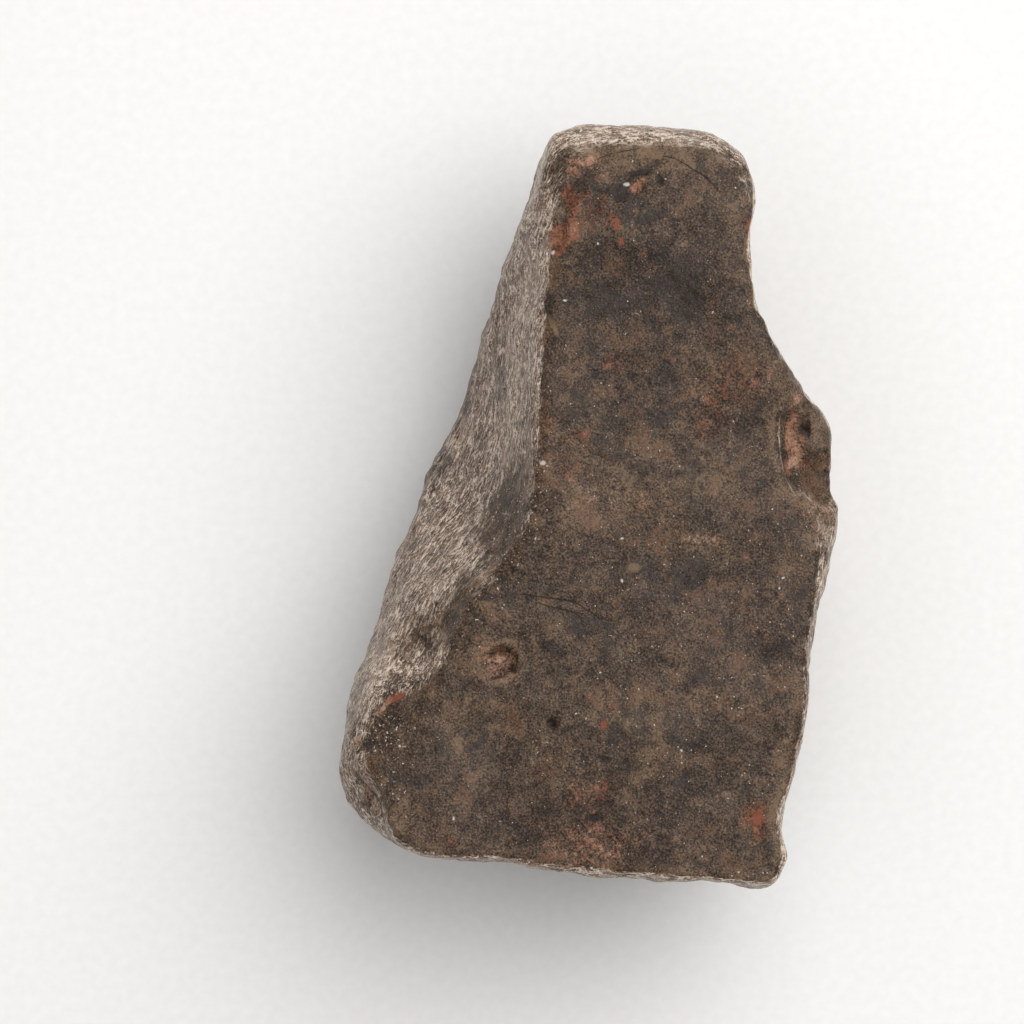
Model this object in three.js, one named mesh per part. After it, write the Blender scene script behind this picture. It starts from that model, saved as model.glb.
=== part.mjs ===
// A stony meteorite: one solid broken chunk, standing on its flat resting face.
// Millimetres, +Z up, +Y towards the narrow nose, origin under the middle of the stone at the resting face.
// The stone is the inside of a smooth function: flat facets, a plan outline and shallow scoops joined with
// rounded edges. The skin is a grid on the six sides of a box, drawn in to the stone along rays that run
// from a short spine inside the stone to the box.
import * as THREE from "three";

// ---- overall size and colour ----
const HEIGHT = 33; // resting face to the broad top face
const BOX_LOW = [-26.5, -40, 0]; // the box that the grid is laid on
const BOX_HIGH = [26.5, 40, 34];
const CELLS = [26, 40, 17]; // grid cells along each side of that box
const SPINE_TAIL = new THREE.Vector3(-2, -26, 15); // ends of the spine that the rays start from
const SPINE_NOSE = new THREE.Vector3(5, 22, 18);
const STONE_COLOUR = 0x67574c;
const STONE_ROUGHNESS = 0.55;
const STONE_METALNESS = 0;

// ---- plan outline: corners of the stone seen from above, anticlockwise from the right shoulder ----
const PLAN_POLE = [1, -5]; // the outline is read as a distance from this point at each bearing
const PLAN_OUTLINE = [
  [26.3, -2.2],
  [25.7, 2.0],
  [25.4, 7.2],
  [22.2, 12.0],
  [18.0, 18.7],
  [17.0, 22.8],
  [16.7, 27.6],
  [17.4, 32.0],
  [16.2, 36.2],
  [13.2, 38.9],
  [9.0, 39.8],
  [5.0, 40.1],
  [0.8, 39.9],
  [-2.6, 38.8],
  [-4.6, 36.2],
  [-8.1, 26.4],
  [-11.4, 16.7],
  [-16.1, 5.8],
  [-18.0, 0.0],
  [-22.7, -9.2],
  [-24.6, -16.0],
  [-25.9, -25.6],
  [-26.3, -29.4],
  [-23.0, -33.0],
  [-18.6, -35.5],
  [-10.5, -37.5],
  [0.0, -38.5],
  [14.0, -39.2],
  [18.3, -39.6],
  [20.2, -37.2],
  [20.4, -33.4],
  [21.9, -24.4],
  [23.4, -13.8],
];
const SPLINE_STEPS = 720; // points read along the outline's curve
const WALL_ROUNDING = 1.2; // edge between the facets and the outline's wall

// ---- facets: x, y, z of a point on the facet, the bearing it faces, its dip from level, edge rounding ----
// A dip over 90 degrees overhangs, and 180 degrees faces straight down.
const NOSE_FACETS = [
  [-4.7, 20.0, 33.0, 178, 67, 1.4], // steep upper part of the left flank
  [17.5, 25.0, 30.0, 2, 84, 0.8], // right side of the nose
  [17.0, 24.0, 19.0, 6, 106, 1.2], // its undercut lower half
  [6.4, 28.6, 33.0, 88, 13, 3.5], // top starts to fall towards the nose
  [6.0, 36.0, 31.2, 91, 40, 4.0], // rounded brow of the nose
  [6.0, 40.3, 25.5, 90, 80, 4.0], // front of the nose
  [-2.6, 33.6, 31.6, 145, 42, 2.0], // small facet left of the crease
  [16.7, 37.9, 28.8, 42, 60, 3.0], // right corner of the nose
];
const BODY_FACETS = [
  [-9.2, -5.2, 33.0, 148, 22, 5.0], // soft middle part of the left flank
  [-19.4, -17.4, 32.6, 138, 56, 1.4], // crisp edge of the lower left flank
  [-20.9, -7.4, 24.0, 161, 80, 3.0], // wall under the left flank
  [-23.6, -26.6, 32.6, 200, 60, 1.0], // chipped lower left edge
  [19.6, 12.0, 32.4, 14, 42, 0.9], // broken right shoulder
  [24.6, -7.0, 32.2, -8, 60, 1.2], // narrow bevel of the right side
];
const SHARED_FACETS = [
  [3.0, 0.0, HEIGHT, 60, 1.5, 1.2], // broad top face
  [0.0, -38.3, 32.7, 265, 58, 0.8], // narrow bevel above the heel
  [0.0, -4.0, 0.0, 0, 180, 2.0], // resting face
  [-6.0, -38.3, 24.0, 261, 88, 0.9], // heel: three broken faces
  [9.0, -38.6, 17.0, 273, 103, 1.0],
  [-13.0, -36.6, 12.0, 249, 114, 1.2],
  [24.8, -11.0, 25.0, -10, 95, 0.9], // right side: broken faces, undercut towards the base
  [21.4, -8.0, 12.0, 9, 119, 1.2],
  [18.5, -31.0, 10.0, -24, 121, 1.4],
  [17.0, -32.0, 7.0, -44, 124, 1.6],
  [14.0, 18.0, 8.0, 24, 131, 2.0],
  [24.0, 6.0, 19.0, 22, 124, 1.4],
  [-23.6, -15.0, 19.0, 166, 103, 1.2], // left side
  [-24.6, -27.0, 19.0, 190, 101, 1.0],
  [-18.0, -9.0, 6.5, 171, 129, 1.6],
  [-9.0, 17.0, 9.0, 158, 122, 1.6],
  [-21.0, -30.0, 9.0, 224, 123, 1.6],
  [4.0, 30.0, 7.0, 84, 150, 2.0], // under the nose
  [7.0, 38.6, 18.0, 80, 109, 1.6],
  [-1.0, 37.0, 14.0, 118, 117, 1.6],
];
const SEAM_ROUNDING = 4; // where the nose meets the body

// ---- scoops: centre x, y, z, half sizes x, y, z, turn about Z, rim rounding ----
const SCOOPS = [
  [-20.4, -11.2, 34.0, 6.4, 8.6, 6.4, -24, 1.6], // hollow in the lower left flank
  [21.6, 6.6, 32.4, 1.9, 4.2, 2.6, 6, 0.5], // long scoop in the shoulder
  [24.6, 2.8, 30.6, 2.1, 2.8, 2.4, 28, 0.8], // outer scoop in the shoulder
  [24.6, -32.4, 32.6, 5.0, 4.4, 3.6, 4, 1.2], // chip near the lower right corner
  [-9.2, -16.1, 33.2, 1.6, 1.4, 0.9, 10, 0.4], // pit in the top face
  [5.4, 32.9, 32.6, 1.7, 1.3, 0.9, 20, 0.4], // pit on the nose
];

// ---- lumps: spacing, height, seed; they die out over the last millimetres above the resting face ----
const LUMPS = [
  [15.0, 1.1, 3],
  [6.5, 0.5, 8],
];
const LUMP_FADE = 4;

const HALVINGS = 40; // steps of the search for the surface along a ray
const PAST_BOX = 1.3; // the search ends this far along the ray, where 1 is at the box
const RESTING_TOLERANCE = 1e-6;

const RADIANS = Math.PI / 180;

// Unit normal of a facet that faces the given bearing and dips that far from level.
function facetNormal(bearing, dip) {
  const b = bearing * RADIANS;
  const d = dip * RADIANS;
  return [Math.sin(d) * Math.cos(b), Math.sin(d) * Math.sin(b), Math.cos(d)];
}

// The larger of two values, with the corner between them rounded over the width k.
function smoothMax(a, b, k) {
  const h = Math.max(k - Math.abs(a - b), 0) / k;
  return Math.max(a, b) + (h * h * k) / 4;
}

// Signed distance above the highest of a table's facets, with rounded edges; start may be a value to begin from.
function aboveFacets(p, table, start = -Infinity) {
  let f = start;
  for (const [x, y, z, bearing, dip, rounding] of table) {
    const n = facetNormal(bearing, dip);
    const d = (p.x - x) * n[0] + (p.y - y) * n[1] + (p.z - z) * n[2];
    f = f === -Infinity ? d : smoothMax(f, d, rounding);
  }
  return f;
}

// The outline's curve as pairs of bearing and distance from the pole, in order of bearing.
function readOutline() {
  const corners = PLAN_OUTLINE.map(([x, y]) => new THREE.Vector3(x, y, 0));
  const curve = new THREE.CatmullRomCurve3(corners, true, "catmullrom", 0.5);
  const read = [];
  for (let i = 0; i < SPLINE_STEPS; i++) {
    const q = curve.getPoint(i / SPLINE_STEPS);
    const dx = q.x - PLAN_POLE[0];
    const dy = q.y - PLAN_POLE[1];
    read.push([Math.atan2(dy, dx), Math.hypot(dx, dy)]);
  }
  read.sort((a, b) => a[0] - b[0]);
  const turn = 2 * Math.PI;
  const first = read[0];
  const last = read[read.length - 1];
  return [[last[0] - turn, last[1]], ...read, [first[0] + turn, first[1]]];
}
const OUTLINE = readOutline();

// Distance of the outline from the pole at a bearing.
function outlineRadius(bearing) {
  let low = 0;
  let high = OUTLINE.length - 1;
  while (high - low > 1) {
    const mid = (low + high) >> 1;
    if (OUTLINE[mid][0] > bearing) high = mid;
    else low = mid;
  }
  const [b0, r0] = OUTLINE[low];
  const [b1, r1] = OUTLINE[high];
  return r0 + ((r1 - r0) * (bearing - b0)) / (b1 - b0);
}

// A fixed pseudo-random slope for each point of an integer lattice.
function latticeSlope(i, j, k, seed) {
  let h = Math.imul(i, 73856093) ^ Math.imul(j, 19349663) ^ Math.imul(k, 83492791) ^ Math.imul(seed, 40503);
  h = Math.imul(h ^ (h >>> 13), 0x5bd1e995);
  h = Math.imul(h ^ (h >>> 15), 0x27d4eb2d);
  h ^= h >>> 16;
  const part = (shift) => ((h >>> shift) & 1023) / 511.5 - 1;
  return [part(0), part(10), part(20)];
}

// Smooth gradient noise, zero at every lattice point.
function noise(x, y, z, seed) {
  const cell = [Math.floor(x), Math.floor(y), Math.floor(z)];
  const t = [x - cell[0], y - cell[1], z - cell[2]];
  const ease = t.map((v) => v * v * v * (v * (6 * v - 15) + 10));
  let sum = 0;
  for (let corner = 0; corner < 8; corner++) {
    const at = [corner & 1, (corner >> 1) & 1, (corner >> 2) & 1];
    const slope = latticeSlope(cell[0] + at[0], cell[1] + at[1], cell[2] + at[2], seed);
    const weight = at.reduce((w, on, axis) => w * (on ? ease[axis] : 1 - ease[axis]), 1);
    sum += weight * at.reduce((s, on, axis) => s + slope[axis] * (t[axis] - on), 0);
  }
  return sum;
}

// How far a point is inside a scoop, as a distance: above zero inside it.
function insideScoop(p, [cx, cy, cz, rx, ry, rz, turn]) {
  const c = Math.cos(turn * RADIANS);
  const s = Math.sin(turn * RADIANS);
  const u = ((p.x - cx) * c + (p.y - cy) * s) / rx;
  const v = ((p.y - cy) * c - (p.x - cx) * s) / ry;
  const w = (p.z - cz) / rz;
  return (1 - Math.hypot(u, v, w)) * Math.min(rx, ry, rz);
}

// The stone's function: below zero inside, above zero outside.
function stone(p) {
  const nose = aboveFacets(p, NOSE_FACETS);
  const body = aboveFacets(p, BODY_FACETS);
  let f = -smoothMax(-nose, -body, SEAM_ROUNDING);
  const dx = p.x - PLAN_POLE[0];
  const dy = p.y - PLAN_POLE[1];
  f = smoothMax(f, Math.hypot(dx, dy) - outlineRadius(Math.atan2(dy, dx)), WALL_ROUNDING);
  f = aboveFacets(p, SHARED_FACETS, f);
  for (const scoop of SCOOPS) f = smoothMax(f, insideScoop(p, scoop), scoop[7]);
  const fade = Math.min(Math.max(p.z / LUMP_FADE, 0), 1);
  for (const [size, height, seed] of LUMPS) f += fade * height * noise(p.x / size, p.y / size, p.z / size, seed);
  return f;
}

// The point of the stone's surface on the ray from the spine to a point of the box.
function surfacePoint(boxPoint) {
  const along = (boxPoint.y - BOX_LOW[1]) / (BOX_HIGH[1] - BOX_LOW[1]);
  const start = new THREE.Vector3().lerpVectors(SPINE_TAIL, SPINE_NOSE, along);
  const p = new THREE.Vector3();
  let inside = 0;
  let outside = PAST_BOX;
  for (let i = 0; i < HALVINGS; i++) {
    const mid = (inside + outside) / 2;
    p.lerpVectors(start, boxPoint, mid);
    if (stone(p) < 0) inside = mid;
    else outside = mid;
  }
  p.lerpVectors(start, boxPoint, inside);
  if (p.z < RESTING_TOLERANCE) p.z = 0;
  return p;
}

// The stone's skin: each side of the box carries a grid, and neighbouring sides share their edge points.
function skin() {
  const numbers = new Map();
  const positions = [];
  const triangles = [];
  const corner = (step) => {
    const key = step.join();
    if (!numbers.has(key)) {
      const at = step.map((s, axis) => BOX_LOW[axis] + (s / CELLS[axis]) * (BOX_HIGH[axis] - BOX_LOW[axis]));
      numbers.set(key, positions.length / 3);
      positions.push(...surfacePoint(new THREE.Vector3(...at)).toArray());
    }
    return numbers.get(key);
  };
  for (const axis of [0, 1, 2]) {
    const across = (axis + 1) % 3;
    const up = (axis + 2) % 3;
    for (const far of [false, true]) {
      for (let i = 0; i < CELLS[across]; i++) {
        for (let j = 0; j < CELLS[up]; j++) {
          const at = (di, dj) => {
            const step = [0, 0, 0];
            step[axis] = far ? CELLS[axis] : 0;
            step[across] = i + di;
            step[up] = j + dj;
            return corner(step);
          };
          const quad = [at(0, 0), at(1, 0), at(1, 1), at(0, 1)];
          if (!far) quad.reverse();
          triangles.push(quad[0], quad[1], quad[2], quad[0], quad[2], quad[3]);
        }
      }
    }
  }
  const geometry = new THREE.BufferGeometry();
  geometry.setAttribute("position", new THREE.Float32BufferAttribute(positions, 3));
  geometry.setIndex(triangles);
  geometry.computeVertexNormals();
  return geometry;
}

const stoneMaterial = new THREE.MeshStandardMaterial({
  color: STONE_COLOUR,
  roughness: STONE_ROUGHNESS,
  metalness: STONE_METALNESS,
});

const meteorite = new THREE.Mesh(skin(), stoneMaterial);
meteorite.name = "meteorite";

const part = new THREE.Group();
part.name = "meteorite_part";
part.add(meteorite);

export default part;
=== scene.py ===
"""A stony meteorite, one weathered broken chunk, lying on a pale floor.

The stone is the inside of a smooth function: flat facets, a plan outline and shallow scoops joined with rounded
edges, in millimetres. Its skin is a grid on the six sides of a box, drawn in to the stone along rays from a short
spine, then roughened by dents, bumps and pits. Stains and wear, and painted glare, highlights and glints, are laid
on as vertex attributes in the same frame.
"""

import math

import bpy
import numpy as np
from bpy.props import FloatProperty, FloatVectorProperty, IntProperty, PointerProperty
from bpy.types import Operator, Panel, PropertyGroup
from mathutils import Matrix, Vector


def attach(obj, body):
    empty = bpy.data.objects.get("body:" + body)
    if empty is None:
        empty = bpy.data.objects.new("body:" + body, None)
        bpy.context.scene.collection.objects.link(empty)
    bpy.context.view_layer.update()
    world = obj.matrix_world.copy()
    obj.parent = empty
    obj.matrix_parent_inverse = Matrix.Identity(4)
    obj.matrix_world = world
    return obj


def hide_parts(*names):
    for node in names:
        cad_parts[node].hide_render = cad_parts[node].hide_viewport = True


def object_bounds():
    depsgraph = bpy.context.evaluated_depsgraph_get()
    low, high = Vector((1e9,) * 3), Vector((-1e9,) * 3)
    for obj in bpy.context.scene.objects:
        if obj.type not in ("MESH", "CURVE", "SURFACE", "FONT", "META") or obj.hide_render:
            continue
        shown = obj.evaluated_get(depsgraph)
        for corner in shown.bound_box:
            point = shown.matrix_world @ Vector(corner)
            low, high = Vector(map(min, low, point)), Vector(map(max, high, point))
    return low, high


bl_info = {
    "name": "Stony meteorite",
    "version": (1, 0, 0),
    "blender": (4, 5, 0),
    "location": "View3D > Sidebar > Meteorite",
    "description": "Builds a weathered stony meteorite and its studio",
    "category": "Object",
}

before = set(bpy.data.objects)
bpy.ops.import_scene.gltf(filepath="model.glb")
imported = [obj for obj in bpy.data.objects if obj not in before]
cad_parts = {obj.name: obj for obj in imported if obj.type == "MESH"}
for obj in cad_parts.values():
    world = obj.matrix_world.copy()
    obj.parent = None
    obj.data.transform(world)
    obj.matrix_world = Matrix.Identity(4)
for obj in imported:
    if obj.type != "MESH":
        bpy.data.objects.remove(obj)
CAD_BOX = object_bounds()
MM = 0.001


# ---------------------------------------------------------------------------
# The stone's form, in millimetres
# ---------------------------------------------------------------------------

# The box whose sides carry the grid, and the ends of the spine that the rays start from.
BOX_LOW = np.array([-26.5, -40.0, 0.0])
BOX_HIGH = np.array([26.5, 40.0, 34.0])
SPINE_TAIL = np.array([-2.0, -26.0, 15.0])
SPINE_NOSE = np.array([5.0, 22.0, 18.0])
PAST_BOX = 1.3  # how far along its ray the skin is looked for, as a share of the way to the box
HALVINGS = 24

# Plan outline, anticlockwise from the right shoulder, read as a distance from the pole at each bearing.
PLAN_POLE = (1.0, -5.0)
PLAN_OUTLINE = [
    (26.3, -2.2), (25.7, 2.0), (25.4, 7.2), (22.2, 12.0), (18.0, 18.7), (17.0, 22.8), (16.7, 27.6),
    (17.4, 32.0), (16.2, 36.2), (13.2, 38.9), (9.0, 39.8), (5.0, 40.1), (0.8, 39.9), (-2.6, 38.8),
    (-4.6, 36.2), (-8.1, 26.4), (-11.4, 16.7), (-16.1, 5.8), (-18.0, 0.0), (-22.7, -9.2), (-24.6, -16.0),
    (-25.9, -25.6), (-26.3, -29.4), (-23.0, -33.0), (-18.6, -35.5), (-10.5, -37.5), (0.0, -38.5),
    (14.0, -39.2), (18.3, -39.6), (20.2, -37.2), (20.4, -33.4), (21.9, -24.4), (23.4, -13.8),
]  # fmt: skip
WALL_ROUNDING = 1.2

# Facets: x, y, z of a point on the facet, the bearing it faces, its dip from level, edge rounding.
NOSE_FACETS = [
    (-4.7, 20.0, 33.0, 178, 67, 1.4),  # steep upper part of the left flank
    (17.5, 25.0, 30.0, 2, 84, 0.8),  # right side of the nose
    (17.0, 24.0, 19.0, 6, 106, 1.2),  # its undercut lower half
    (6.4, 28.6, 33.0, 88, 13, 3.5),  # top starts to fall towards the nose
    (6.0, 36.0, 31.2, 91, 40, 4.0),  # rounded brow of the nose
    (6.0, 40.3, 25.5, 90, 80, 4.0),  # front of the nose
    (-2.6, 33.6, 31.6, 145, 42, 2.0),  # small facet left of the crease
    (16.7, 37.9, 28.8, 42, 60, 3.0),  # right corner of the nose
]
BODY_FACETS = [
    (-9.2, -5.2, 33.0, 148, 22, 5.0),  # soft middle part of the left flank
    (-19.4, -17.4, 32.6, 138, 56, 1.4),  # crisp edge of the lower left flank
    (-20.9, -7.4, 24.0, 161, 80, 3.0),  # wall under the left flank
    (-23.6, -26.6, 32.6, 200, 60, 1.0),  # chipped lower left edge
    (19.6, 12.0, 32.4, 14, 42, 0.9),  # broken right shoulder
    (24.6, -7.0, 32.2, -8, 60, 1.2),  # narrow bevel of the right side
]
SHARED_FACETS = [
    (3.0, 0.0, 33.0, 60, 1.5, 1.2),  # broad top face
    (0.0, -38.3, 32.7, 265, 58, 0.8),  # narrow bevel above the heel
    (0.0, -4.0, 0.0, 0, 180, 2.0),  # resting face
    (-6.0, -38.3, 24.0, 261, 88, 0.9),  # heel: three broken faces
    (9.0, -38.6, 17.0, 273, 103, 1.0),
    (-13.0, -36.6, 12.0, 249, 114, 1.2),
    (24.8, -11.0, 25.0, -10, 95, 0.9),  # right side: broken faces, undercut towards the base
    (21.4, -8.0, 12.0, 9, 119, 1.2),
    (18.5, -31.0, 10.0, -24, 121, 1.4),
    (17.0, -32.0, 7.0, -44, 124, 1.6),
    (14.0, 18.0, 8.0, 24, 131, 2.0),
    (24.0, 6.0, 19.0, 22, 124, 1.4),
    (-23.6, -15.0, 19.0, 166, 103, 1.2),  # left side
    (-24.6, -27.0, 19.0, 190, 101, 1.0),
    (-18.0, -9.0, 6.5, 171, 129, 1.6),
    (-9.0, 17.0, 9.0, 158, 122, 1.6),
    (-21.0, -30.0, 9.0, 224, 123, 1.6),
    (4.0, 30.0, 7.0, 84, 150, 2.0),  # under the nose
    (7.0, 38.6, 18.0, 80, 109, 1.6),
    (-1.0, 37.0, 14.0, 118, 117, 1.6),
]
SEAM_ROUNDING = 4.0

# Scoops: centre x, y, z, half sizes x, y, z, turn about Z, rim rounding.
SCOOPS = [
    (-20.4, -11.2, 34.0, 6.4, 8.6, 6.4, -24, 1.6),  # hollow in the lower left flank
    (21.6, 6.6, 32.4, 1.9, 4.2, 2.6, 6, 0.5),  # long scoop in the shoulder
    (24.6, 2.8, 30.6, 2.1, 2.8, 2.4, 28, 0.8),  # outer scoop in the shoulder
    (24.6, -32.4, 32.6, 5.0, 4.4, 3.6, 4, 0.8),  # chip near the lower right corner
    (-9.2, -16.1, 33.2, 1.6, 1.4, 0.9, 10, 0.4),  # pit in the top face
    (5.4, 32.9, 32.6, 1.7, 1.3, 0.9, 20, 0.4),  # pit on the nose
]

# Lumps of the whole form: spacing, height, seed; they die out just above the resting face.
LUMPS = [(15.0, 1.1, 3), (6.5, 0.5, 8)]
LUMP_FADE = 4.0


def facet_normal(bearing, dip):
    """Unit normal of a facet that faces a bearing and dips that far from level."""
    b, d = math.radians(bearing), math.radians(dip)
    return math.sin(d) * math.cos(b), math.sin(d) * math.sin(b), math.cos(d)


def smooth_max(a, b, k):
    """The larger of two values, plus a quarter of k times the square of how near they are, as a share of k."""
    h = np.maximum(k - np.abs(a - b), 0) / k
    return np.maximum(a, b) + h * h * k / 4


def smooth_step(low, high, value):
    """Zero below low, one above high, and a cubic between."""
    t = np.clip((value - low) / (high - low), 0, 1)
    return t * t * (3 - 2 * t)


def above_facets(p, table, start=None):
    """Signed distance above the highest of a table's facets, their edges rounded."""
    f = start
    for x, y, z, bearing, dip, rounding in table:
        nx, ny, nz = facet_normal(bearing, dip)
        d = (p[:, 0] - x) * nx + (p[:, 1] - y) * ny + (p[:, 2] - z) * nz
        f = d if f is None else smooth_max(f, d, rounding)
    return f


def read_outline(steps=22):
    """The outline as a closed Catmull-Rom curve, given as bearings and distances from the pole in order of bearing."""
    b = np.array(PLAN_OUTLINE)
    a, c, d = np.roll(b, 1, 0), np.roll(b, -1, 0), np.roll(b, -2, 0)
    t = np.linspace(0, 1, steps, endpoint=False)[:, None, None]
    q = 0.5 * (2 * b + (c - a) * t + (2 * a - 5 * b + 4 * c - d) * t**2 + (3 * b - a - 3 * c + d) * t**3)
    q = q.reshape(-1, 2) - PLAN_POLE
    bearing = np.arctan2(q[:, 1], q[:, 0])
    order = np.argsort(bearing)
    return bearing[order], np.hypot(q[:, 0], q[:, 1])[order]


OUTLINE_BEARING, OUTLINE_RADIUS = read_outline()


def plan_polar(p):
    """Bearing from the plan's pole, and distance out from the plan outline."""
    dx, dy = p[:, 0] - PLAN_POLE[0], p[:, 1] - PLAN_POLE[1]
    bearing = np.arctan2(dy, dx)
    return bearing, np.hypot(dx, dy) - np.interp(bearing, OUTLINE_BEARING, OUTLINE_RADIUS, period=2 * math.pi)


def lattice_slope(i, j, k, seed):
    """A fixed pseudo-random slope for each point of an integer lattice, by mixing the bits of its numbers."""
    word = 0xFFFFFFFF
    h = ((i * 73856093) ^ (j * 19349663) ^ (k * 83492791) ^ (seed * 40503)) & word
    h = ((h ^ (h >> 13)) * 0x5BD1E995) & word
    h = ((h ^ (h >> 15)) * 0x27D4EB2D) & word
    h = h ^ (h >> 16)
    return [((h >> shift) & 1023) / 511.5 - 1 for shift in (0, 10, 20)]


def noise(p, size, seed):
    """Gradient noise: each lattice point's slope times the offset from it, blended by quintic weights."""
    q = p / size
    cell = np.floor(q).astype(np.int64)
    t = q - cell
    ease = t * t * t * (t * (6 * t - 15) + 10)
    total = np.zeros(len(p))
    for corner in range(8):
        on = [(corner >> axis) & 1 for axis in range(3)]
        slope = lattice_slope(*(cell[:, axis] + on[axis] for axis in range(3)), seed)
        weight = np.ones(len(p))
        reach = np.zeros(len(p))
        for axis in range(3):
            weight *= ease[:, axis] if on[axis] else 1 - ease[:, axis]
            reach += slope[axis] * (t[:, axis] - on[axis])
        total += weight * reach
    return total


CELL_JITTER = 0.45  # how far a cell's point may lie from its middle, in cells


def nearest_cell(p, size, seed):
    """Distance to the nearest of one random point per lattice cell, in cells, and a random number for that point."""
    q = p / size
    cell = np.floor(q).astype(np.int64)
    best = np.full(len(p), 9.0)
    tag = np.zeros(len(p))
    for step in np.ndindex(3, 3, 3):
        at = cell + np.array(step) - 1
        jitter = np.stack(lattice_slope(at[:, 0], at[:, 1], at[:, 2], seed), 1)
        distance = np.linalg.norm(at + 0.5 + CELL_JITTER * jitter - q, axis=1)
        nearer = distance < best
        best = np.where(nearer, distance, best)
        tag = np.where(nearer, (jitter[:, 0] * 7.3 + jitter[:, 1] * 3.1) % 1.0, tag)
    return best, tag


def inside_scoop(p, scoop):
    """How far a point is inside an ellipsoid: one less its scaled distance from the centre, times the least half."""
    cx, cy, cz, rx, ry, rz, turn, _ = scoop
    c, s = math.cos(math.radians(turn)), math.sin(math.radians(turn))
    dx, dy = p[:, 0] - cx, p[:, 1] - cy
    u, v, w = (dx * c + dy * s) / rx, (dy * c - dx * s) / ry, (p[:, 2] - cz) / rz
    return (1 - np.sqrt(u * u + v * v + w * w)) * min(rx, ry, rz)


def stone(p, lump_height=1.0):
    """The stone's function, below zero inside: facets cut by the outline's wall and the scoops, plus the lumps."""
    nose = above_facets(p, NOSE_FACETS)
    body = above_facets(p, BODY_FACETS)
    f = -smooth_max(-nose, -body, SEAM_ROUNDING)
    f = smooth_max(f, plan_polar(p)[1], WALL_ROUNDING)
    f = above_facets(p, SHARED_FACETS, f)
    for scoop in SCOOPS:
        f = smooth_max(f, inside_scoop(p, scoop), scoop[7])
    fade = np.clip(p[:, 2] / LUMP_FADE, 0, 1) * lump_height
    for size, height, seed in LUMPS:
        f = f + fade * height * noise(p, size, seed)
    return f


def box_grid(cells):
    """Grid points on the six sides of the box, each point once, and the quads that join them, facing out."""
    shape = np.array(cells) + 1
    index = np.indices(shape)
    skin = np.any([(index[a] == 0) | (index[a] == cells[a]) for a in range(3)], axis=0)
    number = np.full(shape, -1)
    number[skin] = np.arange(skin.sum())
    points = np.stack([index[a][skin] for a in range(3)], 1) / np.array(cells)
    quads = []
    for axis in range(3):
        for far in (False, True):
            side = np.take(number, -1 if far else 0, axis=axis)
            if axis == 1:
                side = side.T  # keeps across and up in turning order
            quad = np.stack([side[:-1, :-1], side[1:, :-1], side[1:, 1:], side[:-1, 1:]], -1).reshape(-1, 4)
            quads.append(quad if far else quad[:, ::-1])
    return BOX_LOW + points * (BOX_HIGH - BOX_LOW), np.concatenate(quads)


def draw_in(box_points, lump_height):
    """Each box point moved along its ray from the spine to where the stone's function is zero, by halving."""
    along = (box_points[:, 1:2] - BOX_LOW[1]) / (BOX_HIGH[1] - BOX_LOW[1])
    start = SPINE_TAIL + along * (SPINE_NOSE - SPINE_TAIL)
    ray = box_points - start
    inside, outside = np.zeros(len(ray)), np.full(len(ray), PAST_BOX)
    for _ in range(HALVINGS):
        middle = (inside + outside) / 2
        within = stone(start + ray * middle[:, None], lump_height) < 0
        inside, outside = np.where(within, middle, inside), np.where(within, outside, middle)
    return start + ray * inside[:, None]


def outward(p, lump_height, step=0.08):
    """Unit outward direction: the slope of the stone's function from small steps along each axis."""
    slope = np.stack(
        [stone(p + e, lump_height) - stone(p - e, lump_height) for e in np.eye(3) * step], 1
    )
    return slope / np.linalg.norm(slope, axis=1, keepdims=True)


# ---------------------------------------------------------------------------
# Roughness of the skin
# ---------------------------------------------------------------------------

# Waves of the skin: spacing, height, seed, and how much higher they are on steep faces, as a share.
WAVES = [(5.0, 0.2, 21, 1.0), (2.4, 0.12, 22, 1.5), (1.3, 0.11, 23, 1.0)]
RIDGES = (1.1, 0.16, 24)  # ridges along the streaks of steep faces: spacing, height, seed
DIMPLES = (2.7, 31, 0.14, 0.3, 0.6)  # spacing, seed, depth, reach in cells, and the share of cells without one
STEEP = (0.25, 0.75)  # how far from level a face is, from 0 to 1, where it starts to be steep and where it fully is
RESTING_FADE = (0.02, 2.5)  # heights over which the relief starts at the resting face

# Streaks run along the outline: the bearing where they start, and how long they are drawn.
ROUND_FROM = -1.0
ROUND_STRETCH = 4.5

# Faces this far from level are bare above the higher of two heights, and bare only in patches below the lower.
# Their paleness is partly bare rock and partly painted glare, the reflection a steep face shows at a low angle.
BARE_DIPS = (0.05, 0.36)
BARE_HEIGHTS = (13.0, 23.0)
BARE_BELOW = 0.34

# Edges: how deep under the skin they are felt, how far the slope there is measured, strength, and heights they fade in.
EDGE_DEPTH = 0.8
EDGE_STEP = 0.05
EDGE_STRENGTH = 4.0
EDGE_HEIGHTS = (20.0, 26.0)

# Pits and lines belong to upper faces that look up. Their rims: bend's spacing, reach and seeds, and the width.
PIT_HEIGHTS = (23.0, 26.0)
PIT_FACING = (0.1, 0.4)
PIT_BEND = (1.4, 0.9, (41, 42))
PIT_RIM = (1.25, 0.35)
HOLLOW = (0.7, 0.35)  # the depth that counts as one, and what is taken off it, for the darkening in pits
HOLLOW_FACING = (0.3, 0.6)

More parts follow.
